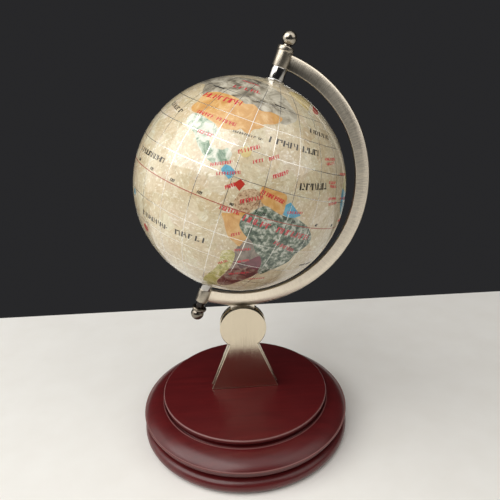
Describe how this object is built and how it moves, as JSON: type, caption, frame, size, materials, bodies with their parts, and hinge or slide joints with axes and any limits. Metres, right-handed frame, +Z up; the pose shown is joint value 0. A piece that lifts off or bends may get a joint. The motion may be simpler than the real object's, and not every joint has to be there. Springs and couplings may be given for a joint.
{
  "type": "desktop globe on stand",
  "caption": "Inlaid desktop globe that spins on a tilted rod in a C-shaped metal arm, on keyhole plates and a turned wooden base.",
  "frame": {"origin": "centre of the felt pad's underside, on the table", "axes": "+Z up, the arm's plane is XZ with the open side of the C towards -X, the front of the stand faces -Y"},
  "size_m": [0.1802, 0.1684, 0.3031],
  "materials": {
    "pearl_inlay": "polished mosaic of pearly shell and coloured stone under clear lacquer",
    "brushed_nickel": "satin, brushed along its length",
    "polished_chrome": "polished",
    "cherry_wood": "dark cherry, satin lacquer",
    "felt": "green felt",
    "zinc_steel": "zinc plated",
    "friction_fibre": "matte fibre",
    "cast_resin": "matte cast resin",
    "white_nylon": "moulded nylon"
  },
  "bodies": {
    "stand": {"felt_pad": "felt", "base_plinth": "cherry_wood", "base_screw_left": "zinc_steel", "base_screw_right": "zinc_steel", "base_washer_left": "zinc_steel", "base_washer_right": "zinc_steel", "front_plate": "brushed_nickel", "rear_plate": "brushed_nickel", "spacer_block": "zinc_steel", "clamp_screw_left": "zinc_steel", "clamp_screw_right": "zinc_steel", "pivot_pin": "zinc_steel", "pivot_screw": "zinc_steel"},
    "arm": {"meridian_arm": "brushed_nickel", "front_friction_washer": "friction_fibre", "rear_friction_washer": "friction_fibre", "top_sleeve": "brushed_nickel", "bottom_sleeve": "brushed_nickel", "axle_rod": "polished_chrome", "top_collar": "polished_chrome", "bottom_collar": "polished_chrome", "north_pole_washer": "polished_chrome", "south_pole_washer": "polished_chrome", "top_lock_ring": "brushed_nickel", "top_finial": "brushed_nickel", "bottom_finial": "brushed_nickel"},
    "globe": {"globe_core_north": "cast_resin", "globe_core_south": "cast_resin", "core_joiner_ring": "cast_resin", "inlay_shell_north": "pearl_inlay", "inlay_shell_south": "pearl_inlay", "north_bush": "white_nylon", "south_bush": "white_nylon"}
  },
  "joints": [
    {"name": "arm_tilt", "type": "hinge", "parent": "stand", "child": "arm", "pos_m": [0, 0, 0.088], "axis": [0, 1, 0], "range_deg": [-25, 25]},
    {"name": "globe_spin", "type": "hinge", "parent": "arm", "child": "globe", "pos_m": [0.00159, 0, 0.20149], "axis": [0.3469, 0, 0.9379], "continuous": true}
  ]
}
